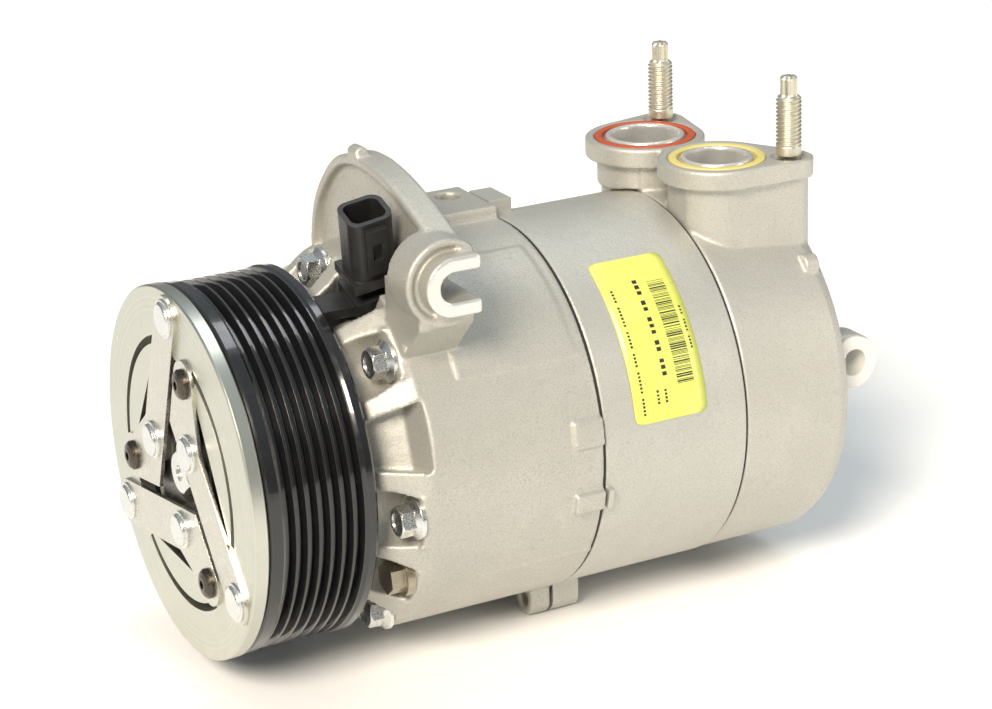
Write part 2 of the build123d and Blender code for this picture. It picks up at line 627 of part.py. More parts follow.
def swash_plate():
    half = SWASH_THICK / 2
    body = turned([(X_SWASH - 9, 0), (X_SWASH - 9, 17.2), (X_SWASH - 8.2, 18.0), (X_SWASH - half, 18.0),
                   (X_SWASH - half, R_SWASH - 0.6), (X_SWASH - half + 0.6, R_SWASH),
                   (X_SWASH + half - 0.6, R_SWASH), (X_SWASH + half, R_SWASH - 0.6), (X_SWASH + half, 18.0),
                   (X_SWASH + 8.2, 18.0), (X_SWASH + 9, 17.2), (X_SWASH + 9, 0)])
    body += block(X_SWASH - 14, X_SWASH - 8, -3.5, 3.5, 13.6, 20.0) & rod(20.4, 60, 80)
    reach = 12.3
    bore = block(60, 100, -9.1, 9.1, -(reach - 9.1), reach - 9.1)
    for side in (-1, 1):
        bore += rod(9.1, 60, 100, 0, side * (reach - 9.1))
    return body - bore - cross(2.52, X_SWASH, 0, -17.9, 17.9)


def swash_pins():
    """Pins on the tilt axis, which ride in the drive sleeve."""
    return [cross(2.5, X_SWASH, 0, 9.4, 17.8), cross(2.5, X_SWASH, 0, -17.8, -9.4)]


def piston(angle):
    """Piston whose tail wraps round the rim of the swash plate, drawn at the -Y side and turned."""
    y = -PISTON_CIRCLE
    head = turned_at(y, 0, [(92.0, 0), (92.0, R_PISTON), (125.2, R_PISTON), (126.0, R_PISTON - 0.8),
                            (126.0, 0)])
    for x in (115.0, 119.5):
        head -= ring(R_PISTON + 1, R_PISTON - 0.8, x, x + 1.8, y, 0)
    head -= turned_at(y, 0, [(96.0, R_PISTON + 1), (98.0, R_PISTON - 1.6), (109.0, R_PISTON - 1.6),
                             (111.0, R_PISTON + 1)])
    tail = rod(R_PISTON, 66.5, 92.5, y, 0) & block(60, 96, -46.9, -28.5, -8.5, 8.5)
    tail &= ring(46.9, 28.5, 60, 96)
    tail -= rod(R_SWASH + 0.5, X_SWASH - 6.6, X_SWASH + 6.6)
    for side in (-90, 90):
        tail -= Pos(X_SWASH, y, 0) * Rot(0, side, 0) * Sphere(R_SHOE + SHOE_GAP, arc_size1=0, align=ON_CENTRE)
    return round_at(angle, head + tail)


def shoes(angle):
    """Two ball segments whose flats ride on the swash plate."""
    low = degrees(asin((SWASH_THICK / 2 + SHOE_GAP) / R_SHOE))
    cap = Sphere(R_SHOE, arc_size1=low, align=ON_CENTRE)
    return [round_at(angle, Pos(X_SWASH, -PISTON_CIRCLE, 0) * Rot(0, side, 0) * cap) for side in (-90, 90)]


# ---- valves and ports --------------------------------------------------------------------------
def suction_reeds():
    x0 = X_JOINT_2 - GASKET / 2 + 0.03
    body = rod(49.8, x0, x0 + 0.4)
    for angle in PISTON_ANGLES:
        tongue = block(x0 - 1, x0 + 1, -47.0, -27.0, -5.0, 5.0)
        tongue -= block(x0 - 2, x0 + 2, -46.2, -26.0, -4.2, 4.2)
        tongue += rod(1.6, x0 - 1, x0 + 1, -24.0, 0)
        body -= round_at(angle, tongue)
    return body


def valve_plate():
    x0 = X_JOINT_2 + GASKET / 2 + 0.02
    body = rod(49.8, x0, x0 + 3.0)
    for angle in PISTON_ANGLES:
        body -= round_at(angle, rod(3.4, x0 - 1, x0 + 4, -38.5, 0))
        body -= round_at(angle, rod(2.2, x0 - 1, x0 + 4, -24.0, 0))
    return body


def discharge_reeds():
    x0 = X_JOINT_2 + GASKET / 2 + 3.06
    petal = plate([(-12, -4), (-12, 4), (-27, 3.6), (-28.2, 0), (-27, -3.6)], x0, x0 + 0.4)
    body = rod(14.0, x0, x0 + 0.4)
    for angle in PISTON_ANGLES:
        body += round_at(angle, petal) & rod(25.8, x0 - 1, x0 + 1)
    return body


def port_seal(port, r_in):
    x, y = port["at"]
    z0 = Z_PORT - 1.6
    r = port["seal"]
    wire = Polyline([(r_in, 0, z0), (r, 0, z0), (r, 0, z0 + 1.5), (r - 0.5, 0, z0 + 1.8),
                     (r_in + 0.5, 0, z0 + 1.8), (r_in, 0, z0 + 1.5)], close=True)
    return Pos(x, y, 0) * revolve(make_face(wire), Axis.Z, 360)


def port_stud(port):
    x, y = port["stud"]
    top = Z_PORT + STUD_LENGTH
    return fused(post(STUD_SHANK, x, y, Z_PORT - 14.5, Z_PORT + 1),
                 post(STUD_RADIUS, x, y, Z_PORT + 0.5, top - 6.5), post(2.9, x, y, top - 7, top))


def lug_sleeve():
    lug = REAR_LUG
    x, z, y0, y1 = lug["x"], lug["z"], lug["y"] - lug["thick"] / 2, lug["y"] + lug["thick"] / 2
    body = cross(lug["sleeve"] - 0.02, x, z, y0 - 0.5, y1) + cross(8.4, x, z, y0 - 1.0, y0 - 0.02)
    return body - cross(lug["inner"], x, z, y0 - 2, y1 + 1)


def control_valve():
    y, z = CONTROL_VALVE
    body = fused(rod(6.95, 150.0, 176.8, y, z), rod(5.0, 143.0, 151.0, y, z),
                 rod(8.6, X_REAR, X_REAR + 1.6, y, z), rod(6.9, 176, X_REAR + 1, y, z))
    return body - ring(8, 6.0, 158, 160, y, z) - ring(8, 6.0, 166, 168, y, z)


def relief_valve():
    y, z = RELIEF_VALVE
    body = fused(rod(5.95, 158.0, X_REAR, y, z), rod(8.6, X_REAR, X_REAR + 1.5, y, z),
                 hexagon(14.0, X_REAR + 1.5, X_REAR + 7.0, y, z), rod(4.6, X_REAR + 7, X_REAR + 10.0, y, z))
    return body - rod(1.8, 150, BIG, y, z)


def label():
    return ring(R_BLOCK + 0.25, R_BLOCK + 0.03, 99.6, 124.4) & wall_sector(7.8, 59.0, 90, 130)


def socket_place():
    """Stands a piece drawn on Z at the connector's foot."""
    x, r, angle = SOCKET_AT
    y, z = polar(r, angle)
    return Pos(x, y, z) * Rot(90 - angle, 0, 0) * Rot(0, SOCKET_LEAN, 0)


def socket_block(x0, x1, y0, y1, z0, z1):
    return socket_place() * block(x0, x1, y0, y1, z0, z1)


def plug_space():
    """Room in the casting for the connector's foot and its lead to the coil."""
    x, r, angle = SOCKET_AT
    return fused(socket_block(-8.4, 8.4, -8.0, 8.0, -1.0, 30.0),
                 round_at(angle, block(10.0, 34.0, -66, -46.5, -6.0, 6.0)),
                 round_at(angle, block(10.0, 20.6, -66, -42.0, -6.0, 6.0)))


def coil_connector():
    long, wide, tall = SOCKET_SIZE
    outer = socket_place() * Pos(0, 0, tall / 2 + 5) * extrude(
        RectangleRounded(long, wide, 3.6), (tall - 10) / 2, both=True)
    foot = socket_block(-7.4, 7.4, -6.9, 6.9, 0.3, 7.0)
    collar = socket_block(-7.8, 7.8, -7.2, 7.2, 11.0, 14.0)
    latch = socket_block(-3.2, 3.2, -wide / 2 - 1.6, -wide / 2 + 0.5, 17.0, tall - 2.0)
    latch -= socket_block(-1.5, 1.5, -wide / 2 - 3, -wide / 2 - 0.2, 22.0, 27.5)
    x, r, angle = SOCKET_AT
    lead = fused(round_at(angle, block(17.9, 31.0, -r - 3.6, -r - 0.2, -4.2, 4.2)),
                 round_at(angle, block(16.9, 19.6, -r - 3.6, -43.6, -4.2, 4.2)))
    body = fused(outer, foot, collar, latch, lead)
    w = SOCKET_WALL
    mouth = extrude(RectangleRounded(long - 2 * w, wide - 2 * w, 2.4), 20)
    return body - socket_place() * Pos(0, 0, 19.5) * mouth


def terminals():
    return [socket_block(s - 1.4, s + 1.4, -0.4, 0.4, 19.5, 27.5) for s in (-2.8, 2.8)]


PIECES = {
    "front_housing": front_housing,
    "cylinder_block": cylinder_block,
    "rear_head": rear_head,
    "gasket_front": lambda: gasket(X_JOINT_1, 50.0, 58.0),
    "gasket_rear": lambda: gasket(X_JOINT_2, 50.4, 57.7),
    "through_bolts": lambda: [through_bolt(y, z) for y, z in BOLT_PLACES],
    "oil_plug": oil_plug,
    "dowel_pins": lambda: rods_at(pin_places(), 2.0, X_JOINT_1 - 6, X_JOINT_1 + 6),
    "coil_housing": coil_housing,
    "coil_winding": coil_winding,
    "coil_ring": coil_ring,
    "coil_connector": coil_connector,
    "connector_terminals": terminals,
    "rotor_pulley": rotor_pulley,
    "bearing_outer_race": lambda: bearing_race(24.3, R_BEARING),
    "bearing_inner_race": lambda: bearing_race(R_NOSE, 20.7),
    "bearing_balls": bearing_balls,
    "nose_ring": nose_ring,
    "armature_plate": armature_plate,
    "armature_rivets": lambda: [rivet(place, 5.8, 1.4, 2.38, -17.9) for place in three_at(*OUTER_RIVET)],
    "leaf_springs": lambda: thirds(leaf_spring()),
    "hub_rivets": lambda: [rivet(place, 5.7, 2.0, 2.48, -17.9) for place in three_at(*INNER_RIVET)],
    "stop_pins": lambda: [stop_pin(place) for place in three_at(*STOP_PIN)],
    "clutch_hub": clutch_hub,
    "hub_bolt": hub_bolt,
    "drive_shaft": drive_shaft,
    "shaft_seal": shaft_seal,
    "seal_ring": seal_ring,
    "front_bearing": lambda: bearing_shell(13.28, 28.0, 41.8),
    "rear_bearing": lambda: bearing_shell(13.28, 99.0, 115.5),
    "thrust_bearing": thrust_bearing,
    "lug_plate": lug_plate,
    "return_spring": return_spring,
    "swash_plate": swash_plate,
    "swash_pins": swash_pins,
    "suction_reeds": suction_reeds,
    "valve_plate": valve_plate,
    "discharge_reeds": discharge_reeds,
    "suction_seal": lambda: port_seal(SUCTION, 13.6),
    "discharge_seal": lambda: port_seal(DISCHARGE, 12.3),
    "port_studs": lambda: [port_stud(SUCTION), port_stud(DISCHARGE)],
    "lug_sleeve": lug_sleeve,
    "control_valve": control_valve,
    "relief_valve": relief_valve,
    "label": label,
}
for n, turn in enumerate(PISTON_ANGLES, start=1):
    PIECES[f"piston_{n}"] = lambda turn=turn: piston(turn)
    PIECES[f"shoes_{n}"] = lambda turn=turn: shoes(turn)


if __name__ == "__main__":
    os.makedirs("parts", exist_ok=True)
    for node, make in PIECES.items():
        made = make()
        save(node, *(made if isinstance(made, list) else [made]))
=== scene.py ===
"""Looks of a belt-driven air-conditioning compressor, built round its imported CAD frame."""
import json
import math
import random

import bmesh
import bpy
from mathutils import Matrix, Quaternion, Vector

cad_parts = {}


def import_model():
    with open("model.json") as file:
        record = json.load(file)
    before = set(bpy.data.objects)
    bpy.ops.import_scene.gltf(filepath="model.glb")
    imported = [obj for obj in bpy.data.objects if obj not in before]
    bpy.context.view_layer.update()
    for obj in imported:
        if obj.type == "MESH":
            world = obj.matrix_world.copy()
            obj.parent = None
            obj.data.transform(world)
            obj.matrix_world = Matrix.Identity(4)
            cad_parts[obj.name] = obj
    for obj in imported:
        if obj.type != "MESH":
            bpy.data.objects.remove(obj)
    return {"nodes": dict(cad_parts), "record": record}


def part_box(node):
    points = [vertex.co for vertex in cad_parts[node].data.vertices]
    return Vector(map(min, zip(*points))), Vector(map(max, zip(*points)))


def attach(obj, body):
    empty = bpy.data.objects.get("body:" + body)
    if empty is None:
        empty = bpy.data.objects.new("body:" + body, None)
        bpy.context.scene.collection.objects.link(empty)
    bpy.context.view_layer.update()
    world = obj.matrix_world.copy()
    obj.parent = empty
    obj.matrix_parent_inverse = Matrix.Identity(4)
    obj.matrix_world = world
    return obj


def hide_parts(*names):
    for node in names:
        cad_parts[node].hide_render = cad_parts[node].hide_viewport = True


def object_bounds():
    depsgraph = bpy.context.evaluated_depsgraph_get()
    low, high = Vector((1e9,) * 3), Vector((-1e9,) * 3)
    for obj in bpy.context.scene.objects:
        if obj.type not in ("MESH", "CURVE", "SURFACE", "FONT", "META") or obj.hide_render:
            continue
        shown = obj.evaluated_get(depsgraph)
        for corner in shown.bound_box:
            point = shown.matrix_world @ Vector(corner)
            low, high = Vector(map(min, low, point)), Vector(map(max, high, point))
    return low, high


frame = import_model()
CAD_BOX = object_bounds()
MM = 0.001
AXLE = (1, 0, 0)


# ---- node helpers ------------------------------------------------------------------------------
class Finish:
    """One procedural material. Sizes are in millimetres, on the object's own coordinates."""

    def __init__(self, name, colour, rough, metal=0.0, **sockets):
        self.material = bpy.data.materials.new(name)
        self.material.use_nodes = True
        self.tree = self.material.node_tree
        self.shader = self.tree.nodes["Principled BSDF"]
        self.colour = colour
        self.rough = rough
        self.normal = None
        self.place = self.new("ShaderNodeTexCoord").outputs["Object"]
        self.shader.inputs["Metallic"].default_value = metal
        self.shader.inputs["Base Color"].default_value = (*colour, 1)
        self.shader.inputs["Roughness"].default_value = rough
        for socket, value in sockets.items():
            self.shader.inputs[socket.replace("_", " ")].default_value = value

    def new(self, kind, **settings):
        node = self.tree.nodes.new(kind)
        for key, value in settings.items():
            setattr(node, key, value)
        return node

    def feed(self, node, **inputs):
        for key, value in inputs.items():
            socket = node.inputs[int(key[1:]) if key[1:].isdigit() else key.replace("_", " ")]
            if isinstance(value, bpy.types.NodeSocket):
                self.tree.links.new(value, socket)
            else:
                socket.default_value = value
        return node

    def math(self, operation, a, b=0.0, clamp=False):
        node = self.new("ShaderNodeMath", operation=operation, use_clamp=clamp)
        return self.feed(node, i0=a, i1=b).outputs[0]

    def vector(self, operation, a, b):
        node = self.new("ShaderNodeVectorMath", operation=operation)
        return self.feed(node, i0=a, i1=b)

    def axis(self, letter):
        return self.feed(self.new("ShaderNodeSeparateXYZ"), i0=self.place).outputs[letter]

    def radius(self, axis=AXLE, centre=(0, 0, 0)):
        """Distance from a line along one of the axes, in metres."""
        flat = tuple(0 if a else 1 for a in axis)
        shifted = self.vector("SUBTRACT", self.place, centre).outputs[0]
        return self.vector("LENGTH", self.vector("MULTIPLY", shifted, flat).outputs[0], flat).outputs[1]

    def noise(self, size, detail=3.0, rough=0.55, at=None):
        """Noise with grains of about that size."""
        node = self.new("ShaderNodeTexNoise")
        self.feed(node, Vector=at or self.place, Scale=1 / (size * MM), Detail=detail, Roughness=rough)
        return node.outputs["Fac"]

    def cells(self, size):
        node = self.new("ShaderNodeTexVoronoi")
        return self.feed(node, Vector=self.place, Scale=1 / (size * MM)).outputs["Distance"]

    def rings(self, size, axis=AXLE, centre=(0, 0, 0)):
        """Lathe marks: noise that changes with the distance from an axis only."""
        line = self.feed(self.new("ShaderNodeCombineXYZ"), X=self.radius(axis, centre)).outputs[0]
        return self.noise(size, 4.0, 0.7, at=line)

    def step(self, value, low, high, to=(0.0, 1.0)):
        node = self.new("ShaderNodeMapRange", interpolation_type="SMOOTHSTEP")
        self.feed(node, i0=value, i1=low, i2=high, i3=to[0], i4=to[1])
        return node.outputs[0]

    def edges(self, radius):
        """Near 1 on edges that a hand or a tumbler wears, 0 on flats."""
        soft = self.feed(self.new("ShaderNodeBevel", samples=4), Radius=radius * MM).outputs[0]
        true = self.new("ShaderNodeNewGeometry").outputs["True Normal"]
        dot = self.vector("DOT_PRODUCT", soft, true).outputs[1]
        return self.step(dot, 0.995, 0.86)

    def mix(self, share, a, b):
        """Mixes two numbers or two colours."""
        tuples = [isinstance(v, tuple) or (hasattr(v, "type") and v.type == "RGBA") for v in (a, b)]
        node = self.new("ShaderNodeMix", data_type="RGBA" if any(tuples) else "FLOAT")
        first = 6 if any(tuples) else 2
        a, b = [(*v, 1) if isinstance(v, tuple) else v for v in (a, b)]
        self.feed(node, **{"i0": share, f"i{first}": a, f"i{first + 1}": b})
        return node.outputs[2 if any(tuples) else 0]

    def tint(self, share, colour):
        """Lays another colour over what is there, by share."""
        self.colour = self.mix(share, self.colour, colour)

    def shine(self, share, rough):
        self.rough = self.mix(share, self.rough, rough)

    def bump(self, height, depth, strength=1.0):
        """Adds relief: depth in millimetres between a height of 0 and of 1."""
        node = self.new("ShaderNodeBump")
        self.feed(node, Strength=strength, Distance=depth * MM, Height=height)
        if self.normal is not None:
            self.tree.links.new(self.normal, node.inputs["Normal"])
        self.normal = node.outputs[0]

    def soften(self, radius):
        """Rounds the look of sharp edges. Comes before any bump."""
        self.normal = self.feed(self.new("ShaderNodeBevel", samples=4), Radius=radius * MM).outputs[0]

    def done(self):
        found = {"Base Color": self.colour, "Roughness": self.rough, "Normal": self.normal}
        for name, value in found.items():
            if isinstance(value, bpy.types.NodeSocket):
                self.tree.links.new(value, self.shader.inputs[name])
        return self.material


def times(colour, factor):
    """A colour made lighter or darker, kept within range."""
    return tuple(min(1, c * factor) for c in colour)


def wear(f, dark, light, size, share=0.5):
    """Slow drift of tone, which every real surface has."""
    f.tint(f.math("MULTIPLY", f.step(f.noise(size, 4.0), 0.35, 0.7), share), light)
    f.tint(f.math("MULTIPLY", f.step(f.noise(size * 0.45, 5.0, 0.65), 0.55, 0.8), share), dark)


# ---- materials ---------------------------------------------------------------------------------
def cast_aluminium(name, tone=(0.52, 0.505, 0.455), grain=1.0, machined=None):
    """Shot-blasted casting: fine pits, slow staining, brighter worn edges, machined places."""
    f = Finish(name, tone, 0.5, 0.62, Specular_IOR_Level=0.4)
    wear(f, times(tone, 0.84), times(tone, 1.10), 16)
    fine = f.noise(0.42 * grain, 3.0, 0.7)
    pits = f.step(f.cells(1.1 * grain), 0.0, 0.32)
    f.tint(f.step(fine, 0.46, 0.68, (0, 0.65)), times(tone, 0.66))
    f.tint(f.step(f.noise(0.9 * grain, 2.0, 0.6), 0.60, 0.78, (0, 0.30)), times(tone, 1.22))
    f.rough = f.step(fine, 0.3, 0.7, (0.42, 0.62))
    smooth = machined(f) if machined else None
    if smooth is not None:
        f.tint(smooth, (0.74, 0.73, 0.70))
        f.shine(smooth, 0.24)
        rougher = f.math("SUBTRACT", 1.0, smooth)
        fine = f.math("MULTIPLY", fine, rougher)
        pits = f.math("MULTIPLY", pits, rougher)
    f.soften(0.55)
    f.bump(f.noise(5.0, 2.0), 0.20, 0.6)
    f.bump(f.noise(1.5 * grain, 2.0, 0.6), 0.10, 0.7)
    f.bump(fine, 0.085, 0.8)
    f.bump(pits, 0.03, 0.5)
    worn = f.edges(0.7)
    f.tint(f.math("MULTIPLY", worn, 0.45), (0.72, 0.69, 0.63))
    f.shine(f.math("MULTIPLY", worn, 0.5), 0.3)
    return f.done()


def turned_metal(name, colour, rough=0.25, marks=0.5, axis=AXLE, centre=(0, 0, 0), warm=None, **sockets):
    """Bright metal that came off a lathe, with rings round an axis."""
    f = Finish(name, colour, rough, 1.0, **sockets)
    wear(f, times(colour, 0.82), warm or times(colour, 1.08), 9, 0.4)
    lines = f.rings(marks, axis, centre)
    f.rough = f.step(lines, 0.3, 0.7, (rough * 0.75, rough * 1.4))
    f.soften(0.25)
    f.bump(lines, 0.012, 0.6)
    f.bump(f.noise(0.5, 2.0), 0.01, 0.3)
    return f.done()


def plated(name, colour, rough=0.3, grain=0.35, tone=None, worn=0.5):
    """Zinc plating: soft mottling, tiny crystals, edges rubbed bright."""
    f = Finish(name, colour, rough, 1.0)
    wear(f, times(colour, 0.78), tone or times(colour, 1.1), 3.5)
    fine = f.noise(grain, 2.0, 0.6)
    f.rough = f.step(fine, 0.3, 0.7, (rough * 0.7, rough * 1.45))
    f.soften(0.3)
    f.bump(fine, 0.012, 0.6)
    f.bump(f.noise(2.2, 2.0), 0.03, 0.4)
    edge = f.edges(0.35)
    f.tint(f.math("MULTIPLY", edge, worn), times(colour, 1.35))
    return f.done()


def painted_black():
    """Baked gloss enamel with faint dust and orange peel, thin and brownish on its edges."""
    f = Finish("black_enamel", (0.008, 0.008, 0.009), 0.2, 0.0, Coat_Weight=0.7, Coat_Roughness=0.06)
    dust = f.step(f.noise(5.0, 4.0, 0.6), 0.45, 0.85)
    f.tint(f.math("MULTIPLY", dust, 0.12), (0.05, 0.045, 0.04))
    f.rough = f.step(f.noise(3.0, 3.0), 0.3, 0.75, (0.13, 0.26))
    f.soften(0.22)
    f.bump(f.noise(2.6, 2.0), 0.010, 0.5)
    f.bump(f.rings(0.4), 0.004, 0.4)
    edge = f.edges(0.35)
    f.tint(f.math("MULTIPLY", edge, 0.3), (0.13, 0.105, 0.08))
    return f.done()


def moulded(name, colour, rough=0.42, grain=0.5, light=None, **sockets):
    """Moulded plastic or rubber: fine spark-eroded grain, scuffs, paler worn edges."""
    f = Finish(name, colour, rough, 0.0, **sockets)
    pale = light or tuple(min(1, c * 1.8 + 0.02) for c in colour)
    f.tint(f.step(f.noise(3.0, 5.0, 0.7), 0.5, 0.8, (0, 0.3)), pale)
    fine = f.noise(grain, 3.0, 0.6)
    f.rough = f.step(fine, 0.3, 0.7, (rough * 0.8, rough * 1.3))
    f.soften(0.3)
    f.bump(fine, 0.02, 0.6)
    f.bump(f.noise(3.5, 2.0), 0.04, 0.35)
    f.tint(f.math("MULTIPLY", f.edges(0.35), 0.4), pale)
    return f.done()


def label_film():
    """Printed film, a little crinkled over the casting."""
    f = Finish("label_film", (0.63, 0.66, 0.135), 0.36, 0.0, Coat_Weight=0.2, Coat_Roughness=0.25)
    f.tint(f.step(f.noise(14, 3.0), 0.4, 0.75, (0, 0.5)), (0.67, 0.69, 0.20))
    f.tint(f.step(f.noise(0.8, 5.0, 0.7), 0.55, 0.8, (0, 0.15)), (0.66, 0.62, 0.10))
    f.rough = f.step(f.noise(4, 3.0), 0.3, 0.7, (0.26, 0.42))
    f.bump(f.noise(2.5, 3.0), 0.02, 0.6)
    return f.done()


def machined_front(f):
    """The slotted boss's end face."""
    lo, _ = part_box("front_housing")
    return f.step(f.axis("Y"), lo.y + 0.55 * MM, lo.y + 0.25 * MM)


def mount_named(name):
    return next(m for m in frame["record"]["mounts"] if m["name"] == name)


def machined_rear_and_bore_shade(f):
    """The counterbores of the two ports, and their bores, with painted shade darkening the bores further
    down.
    """
    face = mount_named("suction_face")["pos_m"][2]
    height = f.axis("Z")
    top = f.step(height, face - 2.3 * MM, face - 2.1 * MM)
    share = 0.0
    for mount, reach in (("suction_port", 16.4), ("discharge_port", 15.4)):
        port = mount_named(mount)
        line = f.radius((0, 0, 1), tuple(port["pos_m"]))
        seat = f.math("MULTIPLY", f.step(line, reach * MM, (reach - 0.2) * MM), top)
        bore = f.step(line, (port["dims"]["r_mm"] + 0.6) * MM, (port["dims"]["r_mm"] + 0.4) * MM)
        # painted shade: each bore is tinted dark from 5 to 8 mm below the face, where shade falls in the
        # hole
        deep = f.math("MULTIPLY", bore, f.step(height, face - 5.0 * MM, face - 8.0 * MM))
        f.tint(deep, (0.10, 0.085, 0.065))
        bright = f.math("SUBTRACT", f.math("MAXIMUM", seat, bore), deep, True)
        share = f.math("MAXIMUM", share, bright)
    return share


CAST_FRONT = cast_aluminium("cast_front", machined=machined_front)
CAST_BLOCK = cast_aluminium("cast_block", (0.54, 0.53, 0.485), 0.8)
CAST_REAR = cast_aluminium("cast_rear", (0.535, 0.52, 0.47), 0.8, machined_rear_and_bore_shade)
ZINC = plated("bright_zinc", (0.74, 0.74, 0.72), 0.26)
PLATE = turned_metal("pale_zinc_plate", (0.62, 0.62, 0.55), 0.33, 0.9, warm=(0.68, 0.66, 0.56))
STUD_ZINC = plated("tan_zinc", (0.68, 0.64, 0.53), 0.42, 0.4, (0.74, 0.68, 0.55))
TAN_STEEL = plated("tan_steel", (0.42, 0.37, 0.29), 0.34, 0.4, (0.50, 0.43, 0.33), 0.6)
LEAF = plated("spring_strip", (0.64, 0.62, 0.56), 0.3, 0.4, (0.70, 0.67, 0.59), 0.7)
DARK = plated("oiled_steel", (0.10, 0.085, 0.07), 0.28, 0.4, (0.17, 0.14, 0.11), 0.6)
GROUND = turned_metal("ground_steel", (0.62, 0.62, 0.62), 0.2)
STEEL = turned_metal("bearing_steel", (0.55, 0.56, 0.57), 0.16, 0.3)
IRON = plated("hub_iron", (0.20, 0.19, 0.18), 0.42, 0.6, (0.28, 0.26, 0.23))
ENAMEL = painted_black()
PLASTIC = moulded("black_plastic", (0.018, 0.018, 0.018), 0.38)
EPOXY = moulded("coil_epoxy", (0.25, 0.09, 0.03), 0.45)
RED = moulded("red_rubber", (0.44, 0.075, 0.025), 0.4, 0.4, (0.55, 0.15, 0.07))
YELLOW = moulded("yellow_rubber", (0.66, 0.56, 0.19), 0.42, 0.4, (0.74, 0.66, 0.33))
BLACK_RUBBER = moulded("gasket_rubber", (0.012, 0.012, 0.013), 0.5)
SLEEVE = moulded("pale_sleeve", (0.72, 0.70, 0.66), 0.4, 0.5, (0.8, 0.79, 0.76))
TIN = plated("tinned_brass", (0.72, 0.62, 0.38), 0.22)
FILM = label_film()
INK = moulded("label_ink", (0.02, 0.02, 0.02), 0.4)

FINISHES = {
    "front_housing": CAST_FRONT, "cylinder_block": CAST_BLOCK, "rear_head": CAST_REAR,
    "gasket_front": BLACK_RUBBER, "gasket_rear": BLACK_RUBBER, "through_bolts": ZINC, "oil_plug": TAN_STEEL,
    "dowel_pins": GROUND, "coil_housing": ENAMEL, "coil_winding": EPOXY, "coil_ring": DARK,
    "coil_connector": PLASTIC, "connector_terminals": TIN, "rotor_pulley": ENAMEL,
    "bearing_outer_race": STEEL, "bearing_inner_race": STEEL, "bearing_balls": STEEL, "nose_ring": DARK,
    "armature_plate": PLATE, "armature_rivets": ZINC, "leaf_springs": LEAF, "hub_rivets": ZINC,
    "stop_pins": DARK, "clutch_hub": IRON, "hub_bolt": ZINC, "drive_shaft": GROUND,
    "shaft_seal": BLACK_RUBBER, "seal_ring": DARK, "front_bearing": STEEL, "rear_bearing": STEEL,
    "thrust_bearing": STEEL, "lug_plate": IRON, "return_spring": DARK, "swash_plate": GROUND,
    "suction_reeds": LEAF, "valve_plate": GROUND, "discharge_reeds": LEAF, "suction_seal": RED,
    "discharge_seal": YELLOW, "port_studs": STUD_ZINC, "lug_sleeve": SLEEVE, "control_valve": TIN,
    "relief_valve": TIN, "label": FILM,
}
for node, thing in frame["nodes"].items():
    finish = FINISHES.get(node, CAST_BLOCK if node.startswith("piston") else STEEL)
    for entry in thing.material_slots:
        entry.material = finish


# ---- pieces ------------------------------------------------------------------------------------
def as_object(name, mesh, *materials, smooth=True):
    data = bpy.data.meshes.new(name)
    mesh.to_mesh(data)
    mesh.free()
    for material in materials:
        data.materials.append(material)
    if smooth:
        for face in data.polygons:
            face.use_smooth = True
    thing = bpy.data.objects.new(name, data)
    bpy.context.scene.collection.objects.link(thing)
    return thing


def round_shaft(x, radius, angle):
    """Place at an angle round the shaft, measured from -Y towards +Z."""
    return Vector((x, -radius * math.cos(angle), radius * math.sin(angle)))


def softened(node, grain, passes, material):
    """The casting with its edges rounded the way sand leaves them, in place of the sharp solid.

    Grain is the cell of the new mesh in millimetres, and passes is how often it is smoothed.
    """
    mesh = bmesh.new()
    mesh.from_mesh(frame["nodes"][node].data)
    mesh.transform(frame["nodes"][node].matrix_world)
    bmesh.ops.remove_doubles(mesh, verts=mesh.verts, dist=0.002 * MM)
    thing = as_object(node + "_cast", mesh, material)
    cells = thing.modifiers.new("cells", "REMESH")
    cells.mode, cells.voxel_size, cells.use_smooth_shade = "VOXEL", grain * MM, True
    smooth = thing.modifiers.new("smooth", "SMOOTH")
    smooth.factor, smooth.iterations = 0.5, passes
    fewer = thing.modifiers.new("fewer", "DECIMATE")
    fewer.ratio = 0.45
    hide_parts(node)
    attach(thing, "housing")


THREAD_PITCH = 1.25
THREAD_DEPTH = 0.62
STUD_SIDES = 48
TIP_LENGTH = 6.5
TIP_RADIUS, TIP_LOBE = 2.62, 0.25
ROOT = 0.6                # how far the root of the thread is under its crest, inside the casting


def stud_radius(z, angle, mount):
    """Radius of a port stud in millimetres: shank, rolled thread, six-lobed driving end."""
    full = mount["dims"]["r_mm"]
    half = mount["dims"]["length_mm"] / 2
    if z < -half:
        return full - ROOT
    if z > half:
        tip = half + TIP_LENGTH
        lobes = TIP_RADIUS + TIP_LOBE * math.cos(6 * angle)
        return lobes - max(0.0, 0.7 - (tip - z)) if z > half + 0.5 else lobes + (half + 0.5 - z) * 1.6
    turn = (z / THREAD_PITCH - angle / (2 * math.pi)) % 1.0
    groove = min(1.0, max(0.0, (0.44 - abs(turn - 0.5)) / 0.30))
    fade = min(1.0, max(0.0, (z + half - 2.5) / 1.5)) * min(1.0, (half - z) / 0.8 + 0.3)
    return full - 0.02 - THREAD_DEPTH * groove * fade - max(0.0, 0.6 - (half - z)) * 0.7


